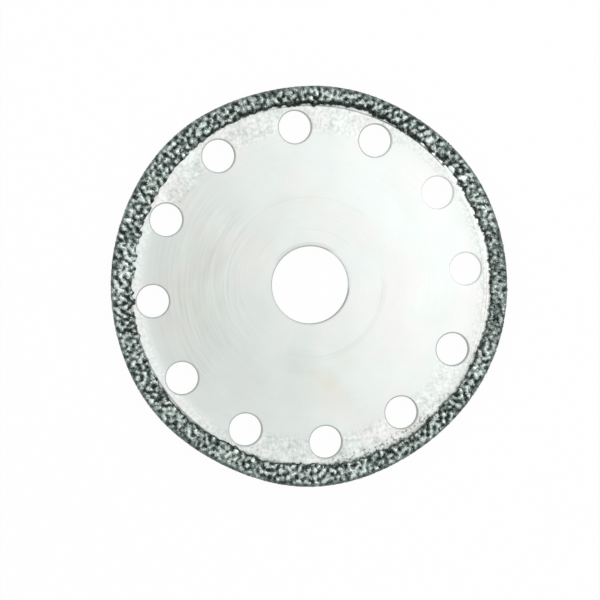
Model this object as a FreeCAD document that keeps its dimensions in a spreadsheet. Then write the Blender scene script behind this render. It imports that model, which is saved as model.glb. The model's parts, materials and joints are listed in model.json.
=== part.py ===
# Small diamond cutting disc: a flat steel blank with a bore and a circle of cooling holes,
# and a rim of diamond crystals held in a nickel bond that wraps the edge of the blank.
# Millimetres. The origin is the centre of the bore at mid-thickness, and +Z is the disc's axis.
import FreeCAD, Part
import math
import os
import random

import Sketcher
from FreeCAD import Vector

# Each size has a name, a value and a note. Counts are whole numbers, the rest are millimetres.
SIZES = (
    ("blank_diameter", 50.0, "steel blank, bare"),
    ("blank_thickness", 1.0, "steel blank, face to face"),
    ("bore_diameter", 10.0, "arbor bore"),
    ("bore_chamfer", 0.1, "broken edge of the bore"),
    ("cooling_hole_count", 12, "cooling holes in one circle"),
    ("cooling_hole_diameter", 4.2, "one cooling hole"),
    ("cooling_hole_web", 2.4, "steel between a cooling hole and the blank's edge"),
    ("land_diameter", 18.8, "flat land for the clamping flange, to the middle of its groove"),
    ("land_groove_width", 0.3, "fine turned groove round the land, a V in section"),
    ("land_groove_depth", 0.03, "depth of that groove"),
    ("bond_face_thickness", 0.25, "nickel bond over the blank's face"),
    ("bond_edge_thickness", 0.85, "nickel bond outside the blank's edge"),
    ("bond_corner", 0.4, "bevelled outer corner of the bond"),
    ("coating_width", 1.65, "how far the coating reaches in from the blank's edge, on average"),
    ("margin_offset", 0.25, "how far the margin lies off the disc's centre"),
    ("margin_wave", 0.1, "height of the margin's slow waves"),
    ("margin_ripple", 0.06, "height of the margin's short ripples"),
    ("margin_roughness", 0.09, "how far each point of the margin may stray in or out"),
    ("crystal_width", 1.2, "diamond crystal, across its widest corners"),
    ("crystal_pitch", 1.53, "distance from one crystal to the next"),
    ("stand_on_face", 0.25, "how far the tallest crystals stand over the bond's face"),
    ("stand_on_edge", 0.15, "how far the tallest crystals stand out of the bond's edge"),
)

# The crystals and the rough margins are scattered from this seed.
SCATTER_SEED = 12
# One crystal in this many stands at full height, and the disc lies and cuts on these.
TALL_EVERY = 5
# The other crystals stand at this share of the full height, at least.
LOWEST_STAND = 0.45
# Of the crystals, this share ends in a point, and the rest in a flat facet.
POINTED_SHARE = 0.45
# The point leans to the side by this share of the width, and the facet tilts by this slope, at most.
MOST_LEAN = 0.15
MOST_TILT = 0.2
# A crystal moves off its place in its row by this share of its free room, at most.
JITTER = 0.45
# The rough margin is drawn through this many points.
MARGIN_POINTS = 120

doc = FreeCAD.newDocument("diamond_cutting_disc")
sheet = doc.addObject("Spreadsheet::Sheet", "Sizes")
for row_number, (alias, value, note) in enumerate(SIZES, start=1):
    sheet.set(f"A{row_number}", note)
    sheet.set(f"B{row_number}", str(value))
    sheet.setAlias(f"B{row_number}", alias)
doc.recompute()


def origin_part(body, role):
    """The body's own origin plane or axis with this role, such as XY_Plane."""
    return next(part for part in body.Origin.OriginFeatures if part.Role == role)


def add_sketch(body, name, plane):
    sketch = body.newObject("Sketcher::SketchObject", name)
    sketch.AttachmentSupport = (origin_part(body, plane), [""])
    sketch.MapMode = "FlatFace"
    return sketch


def bind(sketch, constraint, name, expression):
    """Add a constraint to the sketch and tie its value to the sheet."""
    sketch.renameConstraint(sketch.addConstraint(constraint), name)
    sketch.setExpression(f"Constraints.{name}", expression)


def add_circle(sketch, name, diameter, distance=None):
    """A circle about the origin, or about a point that lies this distance along +X."""
    start = Vector(1, 0, 0) if distance else Vector()
    circle = sketch.addGeometry(Part.Circle(start, Vector(0, 0, 1), 1), False)
    if distance:
        sketch.addConstraint(Sketcher.Constraint("PointOnObject", circle, 3, -1))
        bind(sketch, Sketcher.Constraint("DistanceX", -1, 1, circle, 3, 1), f"{name}_distance", distance)
    else:
        sketch.addConstraint(Sketcher.Constraint("Coincident", circle, 3, -1, 1))
    bind(sketch, Sketcher.Constraint("Diameter", circle, 2), name, diameter)


def add_outline(sketch, corners):
    """A closed outline whose corners are pairs of expressions, measured from the origin."""
    count = len(corners)
    first_guess = [Vector(i + 1, (i + 1) ** 2, 0) for i in range(count)]
    for i in range(count):
        line = Part.LineSegment(first_guess[i], first_guess[(i + 1) % count])
        sketch.addGeometry(line, False)
    for i, (across, up) in enumerate(corners):
        sketch.addConstraint(Sketcher.Constraint("Coincident", (i - 1) % count, 2, i, 1))
        bind(sketch, Sketcher.Constraint("DistanceX", -1, 1, i, 1, 1), f"across_{i}", across)
        bind(sketch, Sketcher.Constraint("DistanceY", -1, 1, i, 1, 1), f"up_{i}", up)


def pad_both_ways(body, name, sketch, length):
    pad = body.newObject("PartDesign::Pad", name)
    pad.Profile = sketch
    pad.SideType = "Symmetric"
    pad.setExpression("Length", length)
    return pad


def turn_into_both_faces(body, name, corners):
    """Turn an outline out of the front and the back; a corner is a radius and a depth below the face."""
    for side, sign in (("front", ""), ("back", "-")):
        sketch = add_sketch(body, f"{name}_{side}_section", "XZ_Plane")
        heights = [(radius, f"{sign}(Sizes.blank_thickness / 2 - ({depth}))") for radius, depth in corners]
        add_outline(sketch, heights)
        groove = body.newObject("PartDesign::Groove", f"{name}_{side}")
        groove.Profile = sketch
        groove.ReferenceAxis = (sketch, ["V_Axis"])
        groove.Angle = 360
    return groove


def bevel_circles(body, name, base, diameter, thickness, size):
    """Bevel the circles of this diameter on the front and the back of a plate."""
    doc.recompute()
    edges = []
    for i, edge in enumerate(base.Shape.Edges, start=1):
        if isinstance(edge.Curve, Part.Circle):
            right_radius = math.isclose(edge.Curve.Radius, diameter / 2, abs_tol=1e-6)
            right_height = math.isclose(abs(edge.Curve.Center.z), thickness / 2, abs_tol=1e-6)
            if right_radius and right_height:
                edges.append(f"Edge{i}")
    bevel = body.newObject("PartDesign::Chamfer", name)
    bevel.Base = (base, edges)
    bevel.setExpression("Size", size)


def make_core_disc():
    """The steel blank: bore, cooling holes and the fine groove round the clamping land."""
    body = doc.addObject("PartDesign::Body", "core_disc")
    body.Label = "core_disc"

    plate_outline = add_sketch(body, "plate_outline", "XY_Plane")
    add_circle(plate_outline, "blank", "Sizes.blank_diameter")
    add_circle(plate_outline, "bore", "Sizes.bore_diameter")
    pad_both_ways(body, "plate", plate_outline, "Sizes.blank_thickness")

    hole_outline = add_sketch(body, "hole_outline", "XY_Plane")
    hole_distance = "(Sizes.blank_diameter - Sizes.cooling_hole_diameter) / 2 - Sizes.cooling_hole_web"
    add_circle(hole_outline, "hole", "Sizes.cooling_hole_diameter", hole_distance)
    hole = body.newObject("PartDesign::Pocket", "cooling_hole")
    hole.Profile = hole_outline
    hole.Type = "ThroughAll"
    hole.SideType = "Symmetric"
    holes = body.newObject("PartDesign::PolarPattern", "cooling_holes")
    holes.Originals = [hole]
    holes.Axis = (origin_part(body, "Z_Axis"), [""])
    holes.Angle = 360
    holes.setExpression("Occurrences", "Sizes.cooling_hole_count")
    body.Tip = holes

    # The groove's V is drawn past the face by its own depth, so it is twice as wide up there.
    land = "Sizes.land_diameter / 2"
    land_groove = (
        (f"{land} - Sizes.land_groove_width", "-Sizes.land_groove_depth"),
        (land, "Sizes.land_groove_depth"),
        (f"{land} + Sizes.land_groove_width", "-Sizes.land_groove_depth"),
    )
    turned = turn_into_both_faces(body, "land_groove", land_groove)

    bevel_circles(
        body, "bore_bevel", turned, sheet.bore_diameter, sheet.blank_thickness, "Sizes.bore_chamfer"
    )
    return body


def bond_radius():
    return sheet.blank_diameter / 2 + sheet.bond_edge_thickness


def bond_thickness():
    return sheet.blank_thickness + 2 * sheet.bond_face_thickness


def make_bond_blank():
    """The nickel bond as a plain disc with bevelled corners, before anything is cut out of it."""
    body = doc.addObject("PartDesign::Body", "bond_blank")
    outline = add_sketch(body, "bond_outline", "XY_Plane")
    add_circle(outline, "bond", "Sizes.blank_diameter + 2 * Sizes.bond_edge_thickness")
    plate = pad_both_ways(
        body, "bond_plate", outline, "Sizes.blank_thickness + 2 * Sizes.bond_face_thickness"
    )
    bevel_circles(body, "bond_bevel", plate, 2 * bond_radius(), bond_thickness(), "Sizes.bond_corner")
    return body


def mean_margin_radius():
    return sheet.blank_diameter / 2 - sheet.coating_width


def margin_radius(turn, side):
    """Where the coating ends: a circle a little off centre, with five slow waves and eleven ripples."""
    offset = sheet.margin_offset * math.cos(turn + 0.15)
    wave = sheet.margin_wave * math.cos(side * 5 * turn + 0.6)
    ripple = sheet.margin_ripple * math.cos(11 * turn + side)
    return mean_margin_radius() + offset + wave + ripple


def make_margin(name, side):
    """A prism over the bare face of the front (1) or the back (-1), which trims the bond there."""
    stray = random.Random(SCATTER_SEED + side)
    points = []
    for i in range(MARGIN_POINTS):
        turn = 2 * math.pi * i / MARGIN_POINTS
        radius = margin_radius(turn, side) + stray.uniform(-1, 1) * sheet.margin_roughness
        points.append(Vector(radius * math.cos(turn), radius * math.sin(turn), 0))
    outline = doc.addObject("Part::Feature", f"{name}_outline")
    outline.Shape = Part.makePolygon(points + points[:1])
    prism = doc.addObject("Part::Extrusion", name)
    prism.Base = outline
    prism.DirMode = "Custom"
    prism.Dir = Vector(0, 0, side)
    prism.Solid = True
    prism.setExpression("LengthFwd", "Sizes.blank_thickness + Sizes.bond_face_thickness")
    return prism


def make_bond(core):
    """The bond trimmed to its wavy margins and cut to the form of the blank that it grips."""
    bond = make_bond_blank()
    for tool in (make_margin("front_margin", 1), make_margin("back_margin", -1), core):
        trimmed = doc.addObject("Part::Cut", f"bond_without_{tool.Name}")
        trimmed.Base = bond
        trimmed.Tool = tool
        bond = trimmed
    doc.recompute()
    return bond


def flat_face(*corners):
    return Part.Face(Part.makePolygon([*corners, corners[0]]))


def crystal(foot, outward, aside, stand, depth, scatter):
    """One crystal: a pyramid of three or four sides that ends in its point or in a tilted facet.

    Its base lies about the given depth under the bond's surface at the foot, and its highest
    corner stands the given height over it. Outward and aside are square to each other.
    """
    across = outward.cross(aside)

    def scattered(most):
        return aside * scatter.uniform(-most, most) + across * scatter.uniform(-most, most)

    sides = scatter.choice((3, 4))
    spin = scatter.uniform(0, 2 * math.pi)
    middle = foot - outward * depth
    base = []
    for i in range(sides):
        turn = spin + 2 * math.pi * (i + scatter.uniform(-0.12, 0.12)) / sides
        reach = sheet.crystal_width / 2 * scatter.uniform(0.8, 1.0)
        base.append(middle + (aside * math.cos(turn) + across * math.sin(turn)) * reach)
    lean = scattered(sheet.crystal_width * MOST_LEAN)
    height = depth + stand
    if scatter.random() < POINTED_SHARE:
        apex = middle + outward * height + lean
        pointed_sides = [flat_face(base[i - 1], base[i], apex) for i in range(sides)]
        return Part.makeSolid(Part.makeShell([flat_face(*base), *pointed_sides]))

    # The facet is a tilted plane across the pyramid, which would end this much higher.
    apex = middle + outward * (height * scatter.uniform(2.0, 3.0)) + lean
    facet_normal = outward + scattered(MOST_TILT)
    facet_middle = middle + outward * height
    top = []
    for corner in base:
        share = (facet_middle - corner).dot(facet_normal) / (apex - corner).dot(facet_normal)
        top.append(corner + (apex - corner) * share)
    too_high = max((corner - facet_middle).dot(outward) for corner in top)
    base = [corner - outward * too_high for corner in base]
    top = [corner - outward * too_high for corner in top]
    cut_sides = [flat_face(base[i - 1], base[i], top[i], top[i - 1]) for i in range(sides)]
    return Part.makeSolid(Part.makeShell([flat_face(*base), *cut_sides, flat_face(*top)]))


def stand_share(number, scatter):
    """The share of the full height at which a crystal stands."""
    if number % TALL_EVERY == 0:
        return 1.0
    return scatter.uniform(LOWEST_STAND, 1.0)


def row_places(row, radius, scatter):
    """Angles of the crystals in one row, each a little off its even place."""
    count = round(2 * math.pi * radius / sheet.crystal_pitch)
    loose = JITTER * (1 - sheet.crystal_width / sheet.crystal_pitch)
    for number in range(count):
        yield number, 2 * math.pi * (number + 0.5 * row + scatter.uniform(-loose, loose)) / count


def face_crystals(side, scatter):
    """Rows of crystals between the margin and the bevelled corner, on the front (1) or the back (-1)."""
    outward = Vector(0, 0, side)
    reach = sheet.crystal_width / 2
    outer = bond_radius() - sheet.bond_corner - reach
    band = outer - (mean_margin_radius() + reach)
    rows = max(1, round(band / sheet.crystal_pitch) + 1)
    crystals = []
    for row in range(rows):
        share = row / max(1, rows - 1)
        middle_radius = outer - band * (1 - share)
        for number, turn in row_places(row, middle_radius, scatter):
            inner = margin_radius(turn, side) + reach
            radius = inner + (outer - inner) * share
            aside = Vector(math.cos(turn), math.sin(turn), 0)
            foot = aside * radius + outward * (bond_thickness() / 2)
            stand = sheet.stand_on_face * stand_share(number, scatter)
            depth = sheet.bond_face_thickness / 2
            crystals.append(crystal(foot, outward, aside, stand, depth, scatter))
    return crystals


def edge_crystals(scatter):
    """One row of crystals round the outer edge of the bond."""
    sway = max(0.0, (bond_thickness() - sheet.crystal_width) / 2 - sheet.bond_corner / 3)
    crystals = []
    for number, turn in row_places(0, bond_radius(), scatter):
        outward = Vector(math.cos(turn), math.sin(turn), 0)
        foot = outward * bond_radius() + Vector(0, 0, scatter.uniform(-sway, sway))
        stand = sheet.stand_on_edge * stand_share(number, scatter)
        crystals.append(crystal(foot, outward, Vector(0, 0, 1), stand, sheet.bond_corner, scatter))
    return crystals


def make_diamond_rim(core):
    """The bond and its crystals as one solid, which sits on the blank's faces and edge."""
    bond = make_bond(core)
    scatter = random.Random(SCATTER_SEED)
    crystals = face_crystals(1, scatter) + face_crystals(-1, scatter) + edge_crystals(scatter)
    rim = doc.addObject("Part::Feature", "diamond_rim")
    rim.Label = "diamond_rim"
    rim.Shape = bond.Shape.multiFuse(crystals).Solids[0]
    print(len(crystals), "crystals")
    return rim


core_disc = make_core_disc()
diamond_rim = make_diamond_rim(core_disc)
doc.recompute()

for thing in doc.Objects:
    if "Invalid" in thing.State or "Error" in thing.State:
        raise RuntimeError(f"{thing.Label} failed: {thing.State}")

os.makedirs("parts", exist_ok=True)
for node in (core_disc, diamond_rim):
    if node.Shape.isNull() or not node.Shape.isValid() or len(node.Shape.Solids) != 1:
        raise RuntimeError(f"{node.Label} is not one valid solid")
    node.Shape.exportStep(f"parts/{node.Label}.step")
    box = node.Shape.BoundBox
    print(node.Label, "volume", round(node.Shape.Volume, 3), "box", box.XLength, box.YLength, box.ZLength)
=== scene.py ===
"""A small diamond cutting disc, dressed for its picture.

The steel blank and the diamond rim are worked out as surfaces in numpy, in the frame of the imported
model, and stand for its two nodes. Lengths are metres. Angles are turned from +X towards +Y.
"""
import json
import math
from itertools import combinations

import bmesh
import bpy
import numpy as np
from mathutils import Matrix, Vector


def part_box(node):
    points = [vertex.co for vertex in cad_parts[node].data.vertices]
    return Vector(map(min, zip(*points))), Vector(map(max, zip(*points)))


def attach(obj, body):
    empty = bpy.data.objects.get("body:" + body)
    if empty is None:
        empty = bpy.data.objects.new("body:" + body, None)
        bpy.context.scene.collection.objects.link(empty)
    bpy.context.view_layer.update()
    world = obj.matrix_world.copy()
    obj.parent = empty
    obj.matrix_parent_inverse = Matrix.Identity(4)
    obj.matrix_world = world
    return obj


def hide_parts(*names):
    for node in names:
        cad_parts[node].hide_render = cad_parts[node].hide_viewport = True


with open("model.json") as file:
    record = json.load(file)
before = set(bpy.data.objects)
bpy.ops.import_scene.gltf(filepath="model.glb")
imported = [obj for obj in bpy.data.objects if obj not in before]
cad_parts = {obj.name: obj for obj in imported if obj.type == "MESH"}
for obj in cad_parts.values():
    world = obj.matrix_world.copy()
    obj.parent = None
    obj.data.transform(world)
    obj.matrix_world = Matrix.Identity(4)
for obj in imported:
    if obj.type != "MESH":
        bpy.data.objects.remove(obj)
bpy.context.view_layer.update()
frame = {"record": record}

MM = 0.001
TURN = 2 * math.pi
DEGREE = TURN / 360

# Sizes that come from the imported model.
BLANK_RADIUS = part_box("core_disc")[1].x
BLANK_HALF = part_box("core_disc")[1].z
TIP_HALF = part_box("diamond_rim")[1].z
ARBOR_BORE = next(mount for mount in frame["record"]["mounts"] if mount["name"] == "arbor_bore")
BORE_RADIUS = ARBOR_BORE["dims"]["r_mm"] * MM

# The blank's holes, and the rounding of their edges.
HOLE_COUNT = 12
HOLE_RADIUS = 2.1 * MM
HOLE_CIRCLE_RADIUS = 20.5 * MM
HOLE_LIP = 0.18 * MM
BORE_LIP = 0.16 * MM
# Turned into the face: the flange's ring mark, and the shallow seat that is plated.
RING_MARK_RADIUS = 9.4 * MM
RING_MARK_DEPTH = 0.004 * MM
RING_MARK_HALF_WIDTH = 0.16 * MM
SEAT_RADIUS = 23.2 * MM
SEAT_DEPTH = 0.02 * MM

# The bond, whose corners are rounded, the slope that it rises on from the bare face, and the mean
# radius at which it ends there.
BOND_RADIUS = 25.88 * MM
BOND_HALF = 0.74 * MM
BOND_CORNER = 0.42 * MM
BOND_SHOULDER = 0.3 * MM
MARGIN_RADIUS = 23.4 * MM

# Lumps of the plating, and the crystals in it: how deep their middles sink at most, how much of that
# varies, how much deeper they sink on the edge, and how far they may stand out there.
LUMP_HEIGHT = 0.04 * MM
GRAIN_PITCH = 0.4 * MM
GRAIN_RADIUS = 0.25 * MM
GRAIN_SINK = 0.1 * MM
GRAIN_SINK_SPREAD = 0.14 * MM
EDGE_SINK = 0.08 * MM
EDGE_STAND = 0.05 * MM
SCATTER_SEED = 4

# How much the crystals differ: how far they stray from even places, in steps of the pitch, their least
# and greatest size and stretch, how much smaller they are on the edge, how far their corners stray as
# a share of their size, how far the tones of whole crystals stray, and how far the painted reflections
# of single facets stray.
GRAIN_STRAY = 0.4
GRAIN_SIZES = (0.7, 1.2)
GRAIN_STRETCH = (0.8, 1.25)
EDGE_GRAIN_LOSS = 0.35
CORNER_STRAY = 0.09
CRYSTAL_TONE_STRAY = 0.12
FACET_REFLECTION_STRAY = 0.15

# Places where the grit is missing and bright nickel shows. Each has the angle and radius of its
# middle, half its length and half its width, and the slant of its length off the outward direction.
BARE_PATCHES = (
    (33.2, 23.4, 0.8, 0.55, 20),
    (29.2, 24.3, 0.65, 0.28, -30),
    (44.6, 24.4, 0.6, 0.2, 25),
    (40.8, 23.7, 0.4, 0.12, 10),
    (161.6, 24.5, 0.75, 0.09, 8),
    (246.0, 23.8, 0.3, 0.25, 0),
)


def linear(hex_colour):
    """An sRGB hex colour as linear red, green, blue and alpha."""
    parts = [int(hex_colour[i : i + 2], 16) / 255 for i in (1, 3, 5)]
    return tuple(c / 12.92 if c <= 0.04045 else ((c + 0.055) / 1.055) ** 2.4 for c in parts) + (1.0,)


def add_node(tree, kind, inputs=(), **settings):
    """Add a shader node. Its inputs are listed in their order or named in a dict.

    Each input is a value, a socket that is linked to it, or a node whose first output in use is linked.
    """
    node = tree.nodes.new("ShaderNode" + kind)
    for name, value in settings.items():
        setattr(node, name, value)
    for name, value in inputs.items() if isinstance(inputs, dict) else enumerate(inputs):
        if isinstance(value, bpy.types.Node):
            value = next(output for output in value.outputs if output.enabled)
        if isinstance(value, bpy.types.NodeSocket):
            tree.links.new(value, node.inputs[name])
        else:
            node.inputs[name].default_value = value
    return node


# Settings of a map range node that goes from 0 at the start to 1 at the end without a kink.
SMOOTH = {"interpolation_type": "SMOOTHSTEP"}


def set_stops(colour_ramp, stops):
    """Give a colour ramp its stops, which are pairs of place and sRGB hex colour."""
    while len(colour_ramp.elements) < len(stops):
        colour_ramp.elements.new(0.5)
    for element, (place, colour) in zip(colour_ramp.elements, stops):
        element.position = place
        element.color = linear(colour)


def new_material(name):
    material = bpy.data.materials.new(name)
    material.use_nodes = True
    material.node_tree.nodes.clear()
    return material, material.node_tree


def make_piece(name, vertices, faces, materials, node):
    """A mesh object at the origin that rides on the part and stands for one of its nodes."""
    mesh = bpy.data.meshes.new(name)
    mesh.from_pydata(vertices.reshape(-1, 3), [], faces.tolist())
    for material in materials:
        mesh.materials.append(material)
    piece = bpy.data.objects.new(name, mesh)
    bpy.context.scene.collection.objects.link(piece)
    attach(piece, "root")
    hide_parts(node)
    return piece


def grid_faces(rows, columns, first=0, closed_rows=False):
    """Quads of a grid of points, row after row; its columns close into a ring."""
    row = np.arange(rows if closed_rows else rows - 1)[:, None]
    column = np.arange(columns)[None, :]
    after = (row + 1) % rows
    beside = (column + 1) % columns
    corners = (
        row * columns + column,
        row * columns + beside,
        after * columns + beside,
        after * columns + column,
    )
    return first + np.stack(np.broadcast_arrays(*corners), axis=-1).reshape(-1, 4)


def on_circles(radius, turn, height):
    """Points at these radii, angles and heights."""
    parts = np.broadcast_arrays(radius * np.cos(turn), radius * np.sin(turn), height)
    return np.stack(parts, axis=-1)


def both_sides(values, sign=1):
    """Values over the front face, repeated in reverse for the back."""
    return np.concatenate([values, sign * values[::-1]])


def lip_profile(lip, steps=5):
    """Set back and drop of a rounded edge, from the face (all the way back) to the wall."""
    turn = np.linspace(0, TURN / 4, steps)
    return lip * (1 - np.sin(turn)), lip * (1 - np.cos(turn))


# Steps on each side of the sector round a hole, the radii between which the sectors lie, and a plain
# ring of points on the way from there to the ring mark.
SIDE_STEPS = 24
CELL_INNER = 17.4 * MM
CELL_OUTER = 23.0 * MM
PLAIN_RING = 13.0 * MM


def hole_cell(middle_turn):
    """The plate round one hole: rings that go from the sector's outline to the hole, through it and back.

    Each point of the outline has a partner on the hole's lip in the same direction from the hole's
    centre, and the rings between are blends of the two.
    """
    half = TURN / HOLE_COUNT / 2
    along = np.linspace(0, 1, SIDE_STEPS, endpoint=False)
    full = np.ones(SIDE_STEPS)
    turns = np.concatenate([half * (2 * along - 1), half * full, half * (1 - 2 * along), -half * full])
    span = CELL_OUTER - CELL_INNER
    radii = np.concatenate(
        [CELL_OUTER * full, CELL_OUTER - span * along, CELL_INNER * full, CELL_INNER + span * along]
    )
    outline = on_circles(radii, turns, 0.0)[:, :2]
    centre = np.array([HOLE_CIRCLE_RADIUS, 0.0])
    direction = outline - centre
    direction /= np.linalg.norm(direction, axis=-1, keepdims=True)

    set_back, drop = lip_profile(HOLE_LIP)
    # Shares of the way out from the lip to the outline; the last ring keeps the lip's shading off the face.
    shares = np.array([1.0, 0.7, 0.4, 0.15, 0.02])
    lip_end = centre + direction * (HOLE_RADIUS + HOLE_LIP)
    plate = lip_end + (outline - lip_end) * shares[:, None, None]
    rounded = centre + direction * (HOLE_RADIUS + set_back[:, None, None])
    rings = both_sides(np.concatenate([plate, rounded]))
    heights = both_sides(np.concatenate([np.full(len(shares), BLANK_HALF), BLANK_HALF - drop]), -1)
    levels = np.broadcast_to(heights[:, None, None], rings.shape[:2] + (1,))
    points = np.concatenate([rings, levels], axis=-1)
    c, s = math.cos(middle_turn), math.sin(middle_turn)
    return points @ np.array([[c, s, 0], [-s, c, 0], [0, 0, 1]])


def steel_blank_mesh():
    """The whole blank: a sector round each hole, the middle with its bore, and the plate's edge."""
    points, faces, first = [], [], 0
    turns = -TURN / HOLE_COUNT / 2 + np.arange(HOLE_COUNT * SIDE_STEPS) * TURN / (HOLE_COUNT * SIDE_STEPS)

    cells = [hole_cell(k * TURN / HOLE_COUNT) for k in range(HOLE_COUNT)]

    set_back, drop = lip_profile(BORE_LIP)
    mark = RING_MARK_RADIUS + RING_MARK_HALF_WIDTH * np.array([1.0, 0.5, 0.0, -0.5, -1.0])
    # A ring just outside the bore's lip keeps the lip's shading off the face.
    bore_edge = BORE_RADIUS + np.concatenate([[BORE_LIP + 0.05 * MM], set_back])
    radii = np.concatenate([[CELL_INNER, PLAIN_RING], mark, bore_edge])
    depths = np.concatenate([np.zeros(4), [RING_MARK_DEPTH], np.zeros(3), drop])
    middle = on_circles(both_sides(radii)[:, None], turns, both_sides(BLANK_HALF - depths, -1)[:, None])

    seat_step = SEAT_RADIUS + np.array([-1, 1]) * SEAT_DEPTH
    radii = np.concatenate([[CELL_OUTER], seat_step, [BLANK_RADIUS]])
    heights = BLANK_HALF - np.array([0, 0, 1, 1]) * SEAT_DEPTH
    edge = on_circles(both_sides(radii)[:, None], turns, both_sides(heights, -1)[:, None])

    for block in (*cells, middle, edge):
        faces.append(grid_faces(*block.shape[:2], first))
        points.append(block.reshape(-1, 3))
        first += len(points[-1])
    return np.concatenate(points), np.concatenate(faces)


def weld(mesh, distance=1e-7):
    """Join points that lie in the same place, so that the surface is closed, and turn it outward."""
    work = bmesh.new()
    work.from_mesh(mesh)
    bmesh.ops.remove_doubles(work, verts=work.verts, dist=distance)
    bmesh.ops.recalc_face_normals(work, faces=work.faces)
    work.to_mesh(mesh)
    work.free()


def wave_sum(turn, terms):
    """Sum of cosines round the disc; each term is its count, height in mm and lead in degrees."""
    return sum(height * np.cos(count * turn + lead * DEGREE) for count, height, lead in terms) * MM


def margin_radius(turn, side):
    """Where the grit ends: a circle a little off centre, with waves and lumps as long as a grain."""
    if side > 0:
        slow = ((1, 0.29, 15), (3, 0.08, 80), (4, 0.05, -50), (5, 0.07, 40), (8, 0.03, 130))
        quick = ((10, 0.05, 5), (12, 0.05, -90), (14, 0.05, 125), (15, 0.05, -150), (16, 0.04, -75))
    else:
        slow = ((1, 0.2, 130), (3, 0.08, 10), (4, 0.05, 70), (5, 0.07, -90), (8, 0.03, 0))
        quick = ((10, 0.05, 80), (12, 0.05, 30), (14, 0.05, 0), (15, 0.05, 60), (16, 0.04, 20))
    lumps = ((37, 0.05, 55), (53, 0.05, 115), (71, 0.05, 20), (97, 0.05, 0), (131, 0.04, 80))
    # On one side of the front the lumps are more than twice as high.
    rise = 1 + 1.3 * np.clip(np.cos(turn - 176 * DEGREE), 0, 1) ** 12 * (side > 0)
    return MARGIN_RADIUS + wave_sum(turn, slow + quick) + wave_sum(turn, lumps) * rise


def edge_wave(turn):
    """How far the whole edge lies in or out of its mean circle."""
    terms = ((1, 0.1, 95), (3, 0.09, -35), (5, 0.08, 85), (6, 0.06, -140), (7, 0.04, -125), (8, 0.04, 90))
    return wave_sum(turn, terms)


EDGE_LENGTH = BOND_HALF - BOND_CORNER
CORNER_LENGTH = BOND_CORNER * TURN / 4


def bond_reach(turn, side):
    """Length of the bond's outline from the middle of the edge, round the corner, to the margin."""
    flat = BOND_RADIUS + edge_wave(turn) - BOND_CORNER - margin_radius(turn, side)
    return EDGE_LENGTH + CORNER_LENGTH + flat


def bond_point(turn, along, side):
    """Radius and height of the bond this far along its outline, and how far its corner has turned."""
    outer = BOND_RADIUS + edge_wave(turn)
    corner = np.clip((along - EDGE_LENGTH) / BOND_CORNER, 0, TURN / 4)
    inward = np.maximum(along - EDGE_LENGTH - CORNER_LENGTH, 0)
    radius = outer - BOND_CORNER + BOND_CORNER * np.cos(corner) - inward
    height = np.minimum(along, EDGE_LENGTH) + BOND_CORNER * np.sin(corner)
    to_margin = np.clip((bond_reach(turn, side) - along) / BOND_SHOULDER, 0, 1)
    foot = BLANK_HALF - SEAT_DEPTH
    height = np.where(inward > 0, foot + (height - foot) * np.sqrt(to_margin * (2 - to_margin)), height)
    return radius, height * side, corner


def make_waves(shortest, longest, count, seed):
    """Waves in all directions over the bond's unrolled surface: turns round it, across it, and lead."""
    scatter = np.random.default_rng(seed)
    length = scatter.uniform(shortest, longest, count)
    heading = scatter.uniform(0, TURN, count)
    round_it = np.round(TURN * BLANK_RADIUS / length * np.cos(heading))
    return np.stack([round_it, TURN / length * np.sin(heading), scatter.uniform(0, TURN, count)], axis=-1)


# Winding ridges about a grain wide, and patches several grains wide.
WORMS = make_waves(0.54 * MM, 1.15 * MM, 44, SCATTER_SEED)
PATCHES = make_waves(1.5 * MM, 5.0 * MM, 24, SCATTER_SEED + 1)


def field(turn, along, waves):
    """A smooth random field of unit spread over the unrolled bond; its ridges wind like worms."""
    total = np.zeros(np.broadcast(turn, along).shape)
    for round_it, across, lead in waves:
        total += np.cos(round_it * turn + across * along + lead)
    return total * math.sqrt(2 / len(waves))


def bareness(turn, radius, side):
    """1 in the middle of the patches that have lost their grit, and 0 outside them."""
    most = np.zeros(np.broadcast(turn, radius).shape)
    if side < 0:
        return most
    for angle, middle, half_length, half_width, slant in BARE_PATCHES:
        away = (turn - angle * DEGREE + TURN / 2) % TURN - TURN / 2
        beside, outward = middle * MM * away, radius - middle * MM
        c, s = math.cos(slant * DEGREE), math.sin(slant * DEGREE)
        length = (outward * c + beside * s) / (half_length * MM)
        width = (beside * c - outward * s) / (half_width * MM)
        most = np.maximum(most, 1 - np.clip((length**2 + width**2 - 0.7) / 0.6, 0, 1))
    return most


def lump_height(turn, along, corner, side):
    """How far the plating's lumps rise above the even bond: a third of their full height on the edge."""
    return LUMP_HEIGHT * field(turn, side * along, WORMS) * (0.35 + 0.65 * np.sin(corner) ** 2)


def edge_shade_share(turn, radius):
    """Share of painted shade, an even dark grey: 0.72 to 0.92 on the edge and the outer corner, 0 further
    in.

    The shaded band is 0.36 mm wide, and up to 0.5 mm on two sides, where it is also strongest.
    """
    depth = BOND_RADIUS + edge_wave(turn) - radius
    sides = np.clip(np.cos(turn - 60 * DEGREE), 0, 1) + np.clip(np.cos(turn - 262 * DEGREE), 0, 1)
    sides = np.minimum(sides, 1)
    return np.clip(((0.36 + 0.14 * sides) * MM - depth) / (0.12 * MM), 0, 1) * (0.72 + 0.2 * sides)


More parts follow.
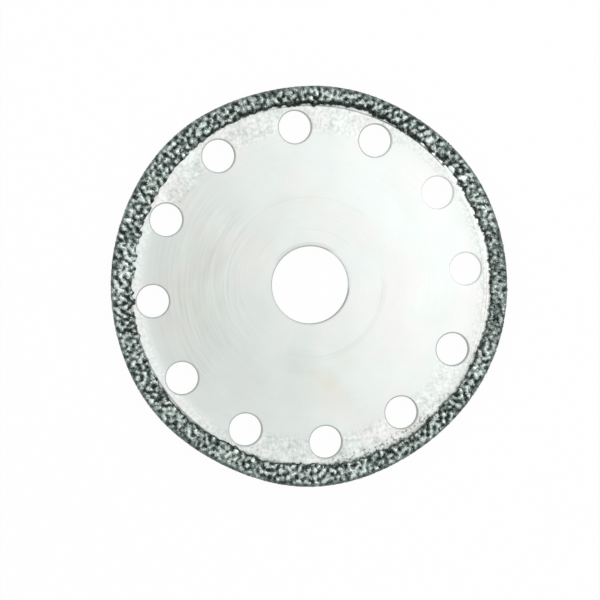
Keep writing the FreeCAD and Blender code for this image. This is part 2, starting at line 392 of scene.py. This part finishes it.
def coating_shade(turn, along, side):
    """How bright the coating is, 0 to 1: painted glints on winding ridges, painted shade in hollows and
    margin.
    """
    radius, _, _ = bond_point(turn, along, side)
    ridges = field(turn, side * along, WORMS) + 0.35 * field(turn, side * along, PATCHES)
    # Painted glints on the ridges and painted shade in the hollows between them.
    shade = 0.54 + 0.42 * np.tanh(0.95 * ridges)
    # A dull stretch, where the contrast is low.
    dull = 0.45 * np.clip(np.cos(turn + 8 * DEGREE), 0, 1) ** 24
    shade += dull * (0.42 - shade)
    # Painted shade: the outer corner and the edge are an even dark grey.
    shade += edge_shade_share(turn, radius) * (0.37 + 0.08 * ridges - shade)
    # Painted shade at the foot of the coating, where its side wall is in shadow: widest on one side and
    # hardly at all on the other.
    from_margin = bond_reach(turn, side) - along
    wide = np.clip(np.cos(turn - 76 * DEGREE), 0, 1) ** 2
    middling = np.clip(np.cos(turn - 236 * DEGREE), 0, 1) ** 6
    foot = (0.09 + 0.27 * wide + 0.08 * middling) * MM
    depth = 0.5 + 0.42 * wide + 0.3 * middling
    shade *= 1 - depth * (1 - np.clip((from_margin - 0.7 * foot) / foot, 0, 1))
    bare = bareness(turn, radius, side)
    return shade + bare * (1.1 - shade)


def bond_mesh(columns=1350, rows_per_side=34):
    """The plating as a closed ring: over both faces and the edge, and back along the blank inside."""
    turn = np.arange(columns) * TURN / columns
    share = np.linspace(0, 1, rows_per_side)
    rings, shades = [], []
    for side, shares in ((1, share[::-1, None]), (-1, share[1:, None])):
        along = shares * bond_reach(turn, side)
        radius, height, corner = bond_point(turn, along, side)
        # The lumps die out over the last eighth before the margin, and are low in the bare patches.
        lump = lump_height(turn, along, corner, side) * np.minimum(1, (1 - shares) * 8)
        lump = lump * (1 - 0.8 * bareness(turn, radius, side))
        radius = radius + lump * np.cos(corner)
        height = height + lump * np.sin(corner) * side
        rings.append(on_circles(radius, turn, height))
        shades.append(coating_shade(turn, along, side))
    # The inner side lies on the blank's edge, out of sight.
    seat = np.array([[-1], [1]]) * (BLANK_HALF - SEAT_DEPTH)
    rings.append(on_circles(BLANK_RADIUS, turn, seat))
    shades.append(np.full((2, columns), 0.2))
    block = np.concatenate(rings)
    faces = grid_faces(len(block), columns, closed_rows=True)[:, ::-1]
    return block.reshape(-1, 3), faces, np.concatenate(shades).ravel()


def crystal_form():
    """A cuboctahedron, the usual form of blocky synthetic diamond.

    Its corners are all places with two coordinates of plus or minus one, scaled to a radius of one.
    A facet is a plane through three corners that has no corner outside it, cut into triangles from
    its first corner. Gives the corners, the triangles and the number of each triangle's facet.
    """
    corners = []
    for a in (-1, 1):
        for b in (-1, 1):
            corners += [(a, b, 0), (0, a, b), (b, 0, a)]
    corners = np.array(corners) / math.sqrt(2)
    facets = {}
    for trio in combinations(range(len(corners)), 3):
        a, b, c = corners[list(trio)]
        normal = np.cross(b - a, c - a)
        if np.linalg.norm(normal) > 1e-9:
            normal *= np.sign(normal @ a) / np.linalg.norm(normal)
            on_facet = np.flatnonzero(corners @ normal > normal @ a - 1e-9)
            if np.allclose(corners[on_facet] @ normal, normal @ a):
                facets[tuple(on_facet)] = normal
    triangles, facet_of = [], []
    for number, (loop, normal) in enumerate(facets.items()):
        if not normal.any():
            # The planes through the middle halve the crystal, and are no facets.
            continue
        loop = np.array(loop)
        spokes = corners[loop] - corners[loop].mean(axis=0)
        upright = np.cross(normal, spokes[0])
        loop = loop[np.argsort(np.arctan2(spokes @ upright, spokes @ spokes[0]))]
        for i in range(1, len(loop) - 1):
            triangles.append((loop[0], loop[i], loop[i + 1]))
            facet_of.append(number)
    return corners, np.array(triangles), np.array(facet_of)


def random_turns(count, scatter):
    """Rotation matrices with no preferred direction, from random unit quaternions."""
    q = scatter.normal(size=(count, 4))
    w, x, y, z = (q / np.linalg.norm(q, axis=1, keepdims=True)).T
    rows = [
        [1 - 2 * (y * y + z * z), 2 * (x * y - w * z), 2 * (x * z + w * y)],
        [2 * (x * y + w * z), 1 - 2 * (x * x + z * z), 2 * (y * z - w * x)],
        [2 * (x * z - w * y), 2 * (y * z + w * x), 1 - 2 * (x * x + y * y)],
    ]
    return np.moveaxis(np.array(rows), -1, 0)


def grit_mesh(first_share, last_share, rows, side, scatter):
    """Crystals half sunk in the bond, and the shade of each corner of their triangles.

    They stand in staggered rows between two shares of the bond's outline, each moved, turned,
    stretched and made uneven at random.
    """
    per_row = round(TURN * BLANK_RADIUS / GRAIN_PITCH)
    row, column = np.divmod(np.arange(rows * per_row), per_row)
    loose = scatter.uniform(-GRAIN_STRAY, GRAIN_STRAY, size=(2, row.size))
    turn = (column + 0.5 * (row % 2) + loose[0]) * TURN / per_row
    share = first_share + (last_share - first_share) * (row + 0.5 + loose[1]) / rows
    along = share * bond_reach(turn, side)
    kept = bareness(turn, bond_point(turn, along, side)[0], side) < 0.05
    turn, along = turn[kept], along[kept]
    radius, height, corner = bond_point(turn, along, side)
    outward = on_circles(np.cos(corner), turn, np.sin(corner) * side)
    inward = on_circles(-np.sin(corner), turn, np.cos(corner) * side)
    aside = on_circles(1.0, turn + TURN / 4, 0.0)

    corners, triangles, facet_of = crystal_form()
    count = len(turn)
    on_edge = np.cos(corner)
    size = GRAIN_RADIUS * scatter.uniform(*GRAIN_SIZES, size=(count, 1, 1))
    size = size * (1 - EDGE_GRAIN_LOSS * on_edge[:, None, None])
    stretch = scatter.uniform(*GRAIN_STRETCH, size=(count, 1, 3))
    uneven = scatter.normal(scale=CORNER_STRAY, size=(count, len(corners), 3))
    offsets = (corners * stretch + uneven) * size @ random_turns(count, scatter).transpose(0, 2, 1)
    sink = GRAIN_SINK - GRAIN_SINK_SPREAD * scatter.random(count) + EDGE_SINK * on_edge
    stand = lump_height(turn, along, corner, side) - sink
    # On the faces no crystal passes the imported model's tips, and on the edge they stand out less.
    reach = np.einsum("ijk,ik->ij", offsets, outward).max(axis=1) + stand
    most = np.where(corner > 1, TIP_HALF - BOND_HALF, EDGE_STAND) * scatter.uniform(0.8, 1.0, count)
    stand -= np.maximum(reach - most, 0)
    points = offsets + (on_circles(radius, turn, height) + outward * stand[:, None])[:, None, :]

    beside = np.einsum("ijk,ik->ij", offsets, aside) / BLANK_RADIUS
    further = np.einsum("ijk,ik->ij", offsets, inward)
    shade = coating_shade(turn[:, None] + beside, np.maximum(along[:, None] + further, 0), side)
    # The painted shade of the edge also evens out the crystals' tones there.
    evenness = 1 - 0.7 * edge_shade_share(turn, radius)[:, None]
    contrast = evenness * np.clip(shade.mean(axis=1, keepdims=True) * 4, 0.2, 1)
    shade = shade[:, triangles.ravel()]
    shade += contrast * scatter.normal(scale=CRYSTAL_TONE_STRAY, size=(count, 1))
    # Painted reflections: each facet is lighter or darker at random, as if it caught the light or not.
    facet_reflections = scatter.normal(scale=FACET_REFLECTION_STRAY, size=(count, facet_of.max() + 1))
    shade += contrast * np.repeat(facet_reflections[:, facet_of], 3, axis=1)
    faces = triangles[None] + len(corners) * np.arange(count)[:, None, None]
    return points, faces.reshape(-1, 3), shade.ravel()


def add_shade(piece, domain, values):
    attribute = piece.data.attributes.new("shade", "FLOAT", domain)
    attribute.data.foreach_set("value", np.clip(values, 0, 1).astype(np.float32))


def polar_place(tree):
    """Object coordinates, the radius, and the heading as a unit vector in the disc's plane."""
    place = add_node(tree, "TexCoord").outputs["Object"]
    flat = add_node(tree, "VectorMath", [place, (1, 1, 0)], operation="MULTIPLY")
    radius = add_node(tree, "VectorMath", [flat], operation="LENGTH")
    heading = add_node(tree, "VectorMath", [flat], operation="NORMALIZE")
    return place, radius, heading


SECTOR_SOFTNESS = 14


def mark_sector(tree, heading, middle, half):
    """1 within half an angle of the middle one, and 0 from its soft end on; all in degrees."""
    aim = (math.cos(middle * DEGREE), math.sin(middle * DEGREE), 0.0)
    facing = add_node(tree, "VectorMath", [heading, aim], operation="DOT_PRODUCT")
    start, end = math.cos(min(half + SECTOR_SOFTNESS, 180) * DEGREE), math.cos(half * DEGREE)
    return add_node(tree, "MapRange", [facing, start, end], **SMOOTH)


def mark_ring(tree, radius, middle, half, soft):
    """1 on a ring of this radius and half width in mm, and 0 from the soft width further out."""
    away = add_node(tree, "Math", [radius, middle * MM], operation="SUBTRACT")
    distance = add_node(tree, "Math", [away], operation="ABSOLUTE")
    return add_node(tree, "MapRange", [distance, (half + soft) * MM, half * MM], **SMOOTH)


def mark_stretch(tree, radius, heading, ring, sector):
    """1 on a stretch of a ring, which is given as mark_ring and mark_sector take it."""
    marks = [mark_sector(tree, heading, *sector), mark_ring(tree, radius, *ring)]
    return add_node(tree, "Math", marks, operation="MULTIPLY")


def add_pattern(tree, level, pattern, weight):
    """The level, shifted by how far the pattern lies from its middle."""
    away = add_node(tree, "Math", [pattern, 0.5], operation="SUBTRACT")
    return add_node(tree, "Math", [away, weight, level], operation="MULTIPLY_ADD")


def painted_steel_sheen(tree, radius, heading):
    """How bright the ground face is before its marks: a painted sheen makes it lighter towards one side."""
    # Painted sheen: lighter towards 12 degrees and darker towards the opposite side, less so near the bore
    # and the coating.
    aim = (math.cos(12 * DEGREE), math.sin(12 * DEGREE), 0.0)
    facing = add_node(tree, "VectorMath", [heading, aim], operation="DOT_PRODUCT")
    from_bore = add_node(tree, "MapRange", [radius, 4 * MM, 15 * MM], **SMOOTH)
    reach = add_node(tree, "Math", [from_bore, 0.13, 0.05], operation="MULTIPLY_ADD")
    to_coating = add_node(tree, "MapRange", [radius, 20 * MM, 22.8 * MM], **SMOOTH)
    fall = add_node(tree, "Math", [to_coating, -0.6, 1.0], operation="MULTIPLY_ADD")
    reach = add_node(tree, "Math", [reach, fall], operation="MULTIPLY")
    level = add_node(tree, "Math", [facing, reach, 0.72], operation="MULTIPLY_ADD")
    # The painted sheen is a little darker still in one stretch on its darker side.
    dim = mark_stretch(tree, radius, heading, (15.5, 2.5, 3.5), (165, 22))
    level = add_node(tree, "Math", [dim, -0.02, level], operation="MULTIPLY_ADD")

    # Next to the coating the face is lighter on one side.
    lighter_sector = mark_sector(tree, heading, 175, 45)
    lighter_ring = add_node(tree, "MapRange", [radius, 21.2 * MM, 22.6 * MM], **SMOOTH)
    lighter_zone = add_node(tree, "Math", [lighter_sector, lighter_ring], operation="MULTIPLY")
    return add_node(tree, "Math", [lighter_zone, 0.2, level], operation="MULTIPLY_ADD")


def turned_arcs(tree, radius, heading):
    """Lines 0.3 mm apart that run round the disc, as a noise that changes quickly with the radius."""
    depth = add_node(tree, "Math", [radius, 3200.0], operation="MULTIPLY")
    across = add_node(tree, "CombineXYZ", {"Z": depth})
    arcs = add_node(tree, "VectorMath", [heading, (2.2, 2.2, 0.0), across], operation="MULTIPLY_ADD")
    return add_node(tree, "TexNoise", {"Vector": arcs, "Scale": 1.0, "Detail": 3.0})


def steel_grain(tree, level, place, radius, heading):
    """The level with its turned arcs, and with the rough grain of the zone that borders the coating."""
    ring_zone = mark_stretch(tree, radius, heading, (14.5, 4.0, 2.5), (174, 34))
    arcs_weight = add_node(tree, "Math", [ring_zone, 0.27, 0.08], operation="MULTIPLY_ADD")
    level = add_pattern(tree, level, turned_arcs(tree, radius, heading), arcs_weight)
    cloud = add_node(tree, "TexNoise", {"Vector": place, "Scale": 200.0, "Detail": 3.0})
    level = add_pattern(tree, level, cloud, 0.2)

    # The rough zone reaches furthest in on two sides, where streaks and blotches cross it.
    two_sides = [mark_sector(tree, heading, 104, 42), mark_sector(tree, heading, 285, 40)]
    rough_sectors = add_node(tree, "Math", two_sides, operation="MAXIMUM")
    rough_start = add_node(tree, "Math", [rough_sectors, -2.2 * MM, 21.4 * MM], operation="MULTIPLY_ADD")
    past_start = add_node(tree, "Math", [radius, rough_start], operation="SUBTRACT")
    rough = add_node(tree, "MapRange", [past_start, 0.0, 1.2 * MM], **SMOOTH)
    crossed = add_node(tree, "Math", [rough, rough_sectors], operation="MULTIPLY")
    outward = add_node(tree, "VectorMath", [place, heading], operation="ADD")
    streaks = add_node(tree, "TexNoise", {"Vector": outward, "Scale": 85.0, "Detail": 5.0})
    streaks_weight = add_node(tree, "Math", [crossed, 0.3, 0.04], operation="MULTIPLY_ADD")
    level = add_pattern(tree, level, streaks, streaks_weight)
    blotches = add_node(tree, "TexNoise", {"Vector": place, "Scale": 900.0, "Detail": 5.0})
    blotches_weight = add_node(tree, "Math", [crossed, 0.8], operation="MULTIPLY")
    level = add_pattern(tree, level, blotches, blotches_weight)
    speckle = add_node(tree, "TexNoise", {"Vector": place, "Scale": 2400.0, "Detail": 4.0})
    speckle_weight = add_node(tree, "Math", [rough, 1.0, 0.04], operation="MULTIPLY_ADD")
    level = add_pattern(tree, level, speckle, speckle_weight)
    level = add_node(tree, "Math", [rough, -0.03, level], operation="MULTIPLY_ADD")

    # Stray grit lies on the steel beside the coating on one side.
    stray = mark_stretch(tree, radius, heading, (23.25, 0.45, 0.8), (292, 14))
    specks = add_node(tree, "TexNoise", {"Vector": place, "Scale": 2100.0, "Detail": 4.0})
    specks = add_node(tree, "MapRange", [specks, 0.5, 0.62], **SMOOTH)
    stray = add_node(tree, "Math", [stray, specks], operation="MULTIPLY")
    return add_node(tree, "Math", [stray, -0.65, level], operation="MULTIPLY_ADD")


# Dark rings and arcs cut by the wheel or rubbed by flanges, and painted shade at the bore and the seat:
# middle and half width of the ring in mm, middle and half angle of the sector in degrees, and darkness.
STEEL_MARKS_AND_SHADE = (
    # Marks cut or rubbed into the face.
    (11.35, 0.05, 125, 75, 0.035),
    (13.35, 0.06, 146, 8, 0.06),
    (9.7, 0.25, 315, 35, 0.03),
    (9.4, 0.05, 315, 40, 0.05),
    (7.7, 0.06, 136, 8, 0.04),
    (7.2, 0.06, 68, 16, 0.03),
    # Painted shade round the bore's edge.
    (5.3, 0.25, 95, 40, 0.09),
    (5.1, 0.06, 95, 40, 0.14),
    (5.15, 0.15, 0, 180, 0.04),
    # Painted shade along the seat's step.
    (23.2, 0.07, 66, 24, 0.5),
    (23.22, 0.05, 35, 20, 0.25),
    # Arcs near the coating.
    (23.35, 0.25, 3, 10, 0.14),
    (22.75, 0.04, 5, 12, 0.1),
    # Painted shade along the seat's step.
    (23.2, 0.06, 212, 24, 0.4),
    (23.2, 0.04, 345, 12, 0.25),
    # A streak across the face.
    (10.0, 1.6, 257, 3, 0.04),
)
MARK_SOFTNESS = 0.08


def marks_and_painted_shade(tree, radius, heading):
    """How much of its colour the steel keeps: 1, less the darkness of each mark or painted shade there."""
    kept = 1.0
    for ring, half_width, sector, half_sector, darkness in STEEL_MARKS_AND_SHADE:
        if half_sector < 180:
            line = (ring, half_width, MARK_SOFTNESS)
            mark = mark_stretch(tree, radius, heading, line, (sector, half_sector))
        else:
            mark = mark_ring(tree, radius, ring, half_width, MARK_SOFTNESS)
        kept = add_node(tree, "Math", [mark, -darkness, kept], operation="MULTIPLY_ADD")
    return kept


def yellow_stains(tree, place, radius, heading):
    """How strong the thin yellow stains are: cloudy, on one side, and fainter on another."""
    stain = mark_stretch(tree, radius, heading, (13.2, 1.6, 1.6), (276, 12))
    faint = mark_stretch(tree, radius, heading, (14.5, 1.6, 1.6), (170, 16))
    faint = add_node(tree, "Math", [faint, 0.7], operation="MULTIPLY")
    stain = add_node(tree, "Math", [stain, faint], operation="MAXIMUM")
    cloudy = add_node(tree, "TexNoise", {"Vector": place, "Scale": 300.0, "Detail": 2.0})
    cloudy = add_node(tree, "MapRange", [cloudy, 0.3, 0.75], **SMOOTH)
    stain = add_node(tree, "Math", [stain, cloudy], operation="MULTIPLY")
    return add_node(tree, "Math", [stain, 0.3], operation="MULTIPLY")


STEEL_STOPS = ((0.0, "#7E837E"), (0.5, "#C8CCC8"), (0.75, "#DCDFDC"), (1.0, "#EBEDEB"))


# Steel, ground flat and lightly polished: pale, nearly neutral, with a soft broad reflection.
def ground_steel():
    material, tree = new_material("ground satin steel")
    place, radius, heading = polar_place(tree)
    # The level starts from the painted sheen, which is lighter towards one side.
    level = steel_grain(tree, painted_steel_sheen(tree, radius, heading), place, radius, heading)
    colour = add_node(tree, "ValToRGB", [level])
    set_stops(colour.color_ramp, STEEL_STOPS)
    # Marks, and painted shade at the bore and the seat, darken the colour.
    kept = {0: colour, "Scale": marks_and_painted_shade(tree, radius, heading)}
    colour = add_node(tree, "VectorMath", kept, operation="SCALE")

    # The reflection drifts between a cool and a warm white.
    drift = add_node(tree, "TexNoise", {"Vector": place, "Scale": 130.0, "Detail": 2.0})
    drift = add_node(tree, "MapRange", [drift, 0.35, 0.65], **SMOOTH)
    whites = {"Factor": drift, 6: linear("#FBFFFF"), 7: linear("#FFFDFD")}
    white = add_node(tree, "Mix", whites, data_type="RGBA")
    colour = add_node(tree, "VectorMath", [colour, white], operation="MULTIPLY")
    stained = {"Factor": yellow_stains(tree, place, radius, heading), 6: colour, 7: linear("#D2CBB8")}
    colour = add_node(tree, "Mix", stained, data_type="RGBA")

    bump = add_node(tree, "Bump", {"Height": level, "Strength": 0.05, "Distance": 0.02 * MM})
    finish = {"Base Color": colour, "Metallic": 1.0, "Roughness": 0.42, "Normal": bump}
    shader = add_node(tree, "BsdfPrincipled", finish)
    add_node(tree, "OutputMaterial", {"Surface": shader})
    return material


def painted_sheen_side(tree, colour, pale):
    """The colour, turning pale as a painted sheen on the side where the face's painted sheen is lightest.
    """
    heading = polar_place(tree)[2]
    mix = {"Factor": mark_sector(tree, heading, 22, 25), 6: linear(colour), 7: linear(pale)}
    return add_node(tree, "Mix", mix, data_type="RGBA")


# Walls of the holes, cut by laser: darker and rough, with a thin dark oxide, and paler on one side as
# a painted sheen.
def cut_steel():
    material, tree = new_material("laser cut steel wall")
    colour = painted_sheen_side(tree, "#A0A6A1", "#CDD2CE")
    finish = {"Base Color": colour, "Metallic": 0.8, "Roughness": 0.5}
    shader = add_node(tree, "BsdfPrincipled", finish)
    add_node(tree, "OutputMaterial", {"Surface": shader})
    return material


# Rounded lips of the bore and the holes, dulled by the grinding: greyer than the face as a painted
# shade, and paler on one side as a painted sheen.
def dull_lip():
    material, tree = new_material("dulled steel edge")
    colour = painted_sheen_side(tree, "#B9BEBA", "#DEE2DF")
    finish = {"Base Color": colour, "Metallic": 0.9, "Roughness": 0.6}
    shader = add_node(tree, "BsdfPrincipled", finish)
    add_node(tree, "OutputMaterial", {"Surface": shader})
    return material


# Tones of the coating, from painted shade in hollows to painted glints on ridges, with a cool green cast.
COATING_STOPS = (
    (0.0, "#141C19"),
    (0.2, "#313C38"),
    (0.45, "#727F7A"),
    (0.7, "#AFBBB6"),
    (0.9, "#DFE9E4"),
    (1.0, "#F5FCF9"),
)


# Nickel plating grown round the grit: dull, painted shade in its hollows, painted glints on its ridges.
def nickel_plating():
    material, tree = new_material("dull nickel plating")
    place = add_node(tree, "TexCoord").outputs["Object"]
    shade = add_node(tree, "Attribute", attribute_name="shade").outputs["Fac"]
    grain = add_node(tree, "TexNoise", {"Vector": place, "Scale": 3500.0, "Detail": 3.0})
    colour = add_node(tree, "ValToRGB", [add_pattern(tree, shade, grain, 0.35)])
    set_stops(colour.color_ramp, COATING_STOPS)
    finish = {"Base Color": colour, "Metallic": 0.6, "Roughness": 0.45, "Specular IOR Level": 0.2}
    shader = add_node(tree, "BsdfPrincipled", finish)
    add_node(tree, "OutputMaterial", {"Surface": shader})
    return material


# Synthetic diamond grit, grey with a cool green cast: glossy facets that carry the coating's painted
# glints and shade, and a painted reflection of their own, lighter or darker at random.
def diamond_grit():
    material, tree = new_material("synthetic diamond grit")
    shade = add_node(tree, "Attribute", attribute_name="shade").outputs["Fac"]
    colour = add_node(tree, "ValToRGB", [shade])
    set_stops(colour.color_ramp, COATING_STOPS)
    finish = {"Base Color": colour, "Roughness": 0.3, "Specular IOR Level": 0.2}
    shader = add_node(tree, "BsdfPrincipled", finish)
    add_node(tree, "OutputMaterial", {"Surface": shader})
    return material


def make_blank():
    """The steel blank; its surface is told by its slope: walls stand, lips lean and the rest is flat."""
    vertices, faces = steel_blank_mesh()
    materials = (ground_steel(), cut_steel(), dull_lip())
    piece = make_piece("steel_blank", vertices, faces, materials, "core_disc")
    weld(piece.data)
    piece.data.shade_smooth()
    polygons = piece.data.polygons
    normals, centres = np.empty(len(polygons) * 3), np.empty(len(polygons) * 3)
    polygons.foreach_get("normal", normals)
    polygons.foreach_get("center", centres)
    inside = np.hypot(centres[0::3], centres[1::3]) < SEAT_RADIUS - 0.1 * MM
    upright = np.abs(normals[2::3])
    surface = np.where(inside & (upright < 0.99), np.where(upright < 0.5, 1, 2), 0)
    polygons.foreach_set("material_index", surface.astype(np.int32))


def make_rim():
    """The plating, and four bands of grit: each face, and each half of the edge with its corner."""
    vertices, faces, shades = bond_mesh()
    bond = make_piece("nickel_bond", vertices, faces, (nickel_plating(),), "diamond_rim")
    bond.data.shade_smooth()
    add_shade(bond, "POINT", shades)
    scatter = np.random.default_rng(SCATTER_SEED)
    grit = diamond_grit()
    for name, side, first, last, rows in (
        ("front_grit", 1, 0.3, 0.98, 6),
        ("back_grit", -1, 0.3, 0.98, 6),
        ("edge_grit", 1, 0.0, 0.3, 3),
        ("under_edge_grit", -1, 0.0, 0.3, 3),
    ):
        vertices, faces, shades = grit_mesh(first, last, rows, side, scatter)
        piece = make_piece(name, vertices, faces, (grit,), "diamond_rim")
        piece.data.shade_flat()
        add_shade(piece, "CORNER", shades)


# Camera: a long lens 388 mm away, 7.7 degrees off the disc's axis towards its left, as in the photo.
CAMERA_DISTANCE = 388 * MM
CAMERA_TILT = 7.67 * DEGREE
CAMERA_TURN = 156.3 * DEGREE
CAMERA_ROLL = -5.62 * DEGREE
PICTURE_WIDTH = 77.72 * MM
# The disc's centre lies this far right of the picture's middle and above it.
CENTRE_RIGHT = 1.289 * MM
CENTRE_UP = 1.959 * MM


def make_camera():
    towards = Vector((
        math.sin(CAMERA_TILT) * math.cos(CAMERA_TURN),
        math.sin(CAMERA_TILT) * math.sin(CAMERA_TURN),
        math.cos(CAMERA_TILT),
    ))
    up_hint = Vector((-math.sin(CAMERA_ROLL), math.cos(CAMERA_ROLL), 0))
    right = up_hint.cross(towards).normalized()
    up = towards.cross(right)
    data = bpy.data.cameras.new("camera")
    data.sensor_width = 36
    data.lens = data.sensor_width * CAMERA_DISTANCE / PICTURE_WIDTH
    data.clip_start = 0.01
    camera = bpy.data.objects.new("camera", data)
    bpy.context.scene.collection.objects.link(camera)
    place = towards * CAMERA_DISTANCE - right * CENTRE_RIGHT - up * CENTRE_UP
    axes = Matrix((right, up, towards)).transposed().to_4x4()
    camera.matrix_world = Matrix.Translation(place) @ axes
    bpy.context.scene.camera = camera


def seen_directly(tree):
    """1 for rays that the camera, a reflection or glass sends out, and 0 for light that falls."""
    rays = add_node(tree, "LightPath").outputs
    seen = [rays["Is Camera Ray"], rays["Is Glossy Ray"]]
    seen = add_node(tree, "Math", seen, operation="MAXIMUM")
    return add_node(tree, "Math", [seen, rays["Is Transmission Ray"]], operation="MAXIMUM")


# Strength of the light that the white surroundings shed, and the share of the floor that glows white
# where it is seen directly.
SKY_LIGHT = 0.55
FLOOR_GLOW = 0.97
FLOOR_HALF = 0.6


def make_world():
    world = bpy.data.worlds.new("studio")
    world.use_nodes = True
    tree = world.node_tree
    tree.nodes.clear()
    strength = add_node(tree, "Mix", {"Factor": seen_directly(tree), "A": SKY_LIGHT, "B": 1.0})
    background = add_node(tree, "Background", {"Color": (1, 1, 1, 1), "Strength": strength})
    add_node(tree, "OutputWorld", {"Surface": background})
    bpy.context.scene.world = world


def make_floor():
    """A pale floor that the disc lies on, at the height of its lowest tips."""
    signs = ((-1, -1), (1, -1), (1, 1), (-1, 1))
    mesh = bpy.data.meshes.new("floor")
    mesh.from_pydata([(x * FLOOR_HALF, y * FLOOR_HALF, -TIP_HALF) for x, y in signs], [], [(0, 1, 2, 3)])
    material, tree = new_material("pale studio floor")
    share = add_node(tree, "Math", [seen_directly(tree), FLOOR_GLOW], operation="MULTIPLY")
    paint = add_node(tree, "BsdfDiffuse", {"Color": linear("#FCFCFC")})
    glow = add_node(tree, "Emission", {"Color": (1, 1, 1, 1), "Strength": 1.0})
    mixed = add_node(tree, "MixShader", [share, paint, glow])
    add_node(tree, "OutputMaterial", {"Surface": mixed})
    mesh.materials.append(material)
    floor = bpy.data.objects.new("floor", mesh)
    bpy.context.scene.collection.objects.link(floor)


def add_lamp(name, place, width, power):
    data = bpy.data.lights.new(name, "AREA")
    data.shape = "SQUARE"
    data.size = width
    data.energy = power
    lamp = bpy.data.objects.new(name, data)
    bpy.context.scene.collection.objects.link(lamp)
    lamp.location = place
    lamp.rotation_euler = Vector(place).to_track_quat("Z", "Y").to_euler()


bpy.context.scene.view_settings.view_transform = "Standard"
make_world()
make_floor()
make_camera()
add_lamp("right softbox", (0.38, 0.10, 0.42), 0.35, 1.0)
add_lamp("back softbox", (-0.10, 0.45, 0.40), 0.30, 0.6)
make_blank()
make_rim()
